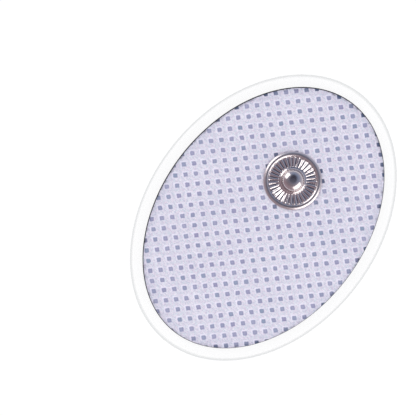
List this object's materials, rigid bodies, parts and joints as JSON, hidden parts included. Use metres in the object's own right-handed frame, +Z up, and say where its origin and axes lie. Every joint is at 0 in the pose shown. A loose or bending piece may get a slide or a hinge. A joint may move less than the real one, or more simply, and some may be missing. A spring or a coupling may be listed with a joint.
{
  "type": "snap electrode pad",
  "caption": "Oval self-adhesive electrode pad with a fluted metal snap stud on bonded fabric, lying on its clear release liner.",
  "frame": {"origin": "middle of the liner's underside, on the surface that the pad lies on", "axes": "+Y along the oval towards the snap, +Z up from the liner to the stud, +X across the oval"},
  "size_m": [0.0442, 0.06, 0.0042],
  "materials": {
    "clear_film": "clear glossy polyester film",
    "hydrogel": "clear wet gel over the black film",
    "carbon_film": "satin black carbon-filled film",
    "nonwoven": "bluish white spunbond with pressed square bond points",
    "nickel_plate": "bright nickel plate on pressed brass",
    "eyelet_plate": "nickel plate on pressed brass"
  },
  "bodies": {
    "root": {"release_liner": "clear_film", "hydrogel": "hydrogel", "carbon_film": "carbon_film", "nonwoven_backing": "nonwoven", "snap_stud": "nickel_plate", "snap_eyelet": "eyelet_plate"}
  },
  "joints": []
}
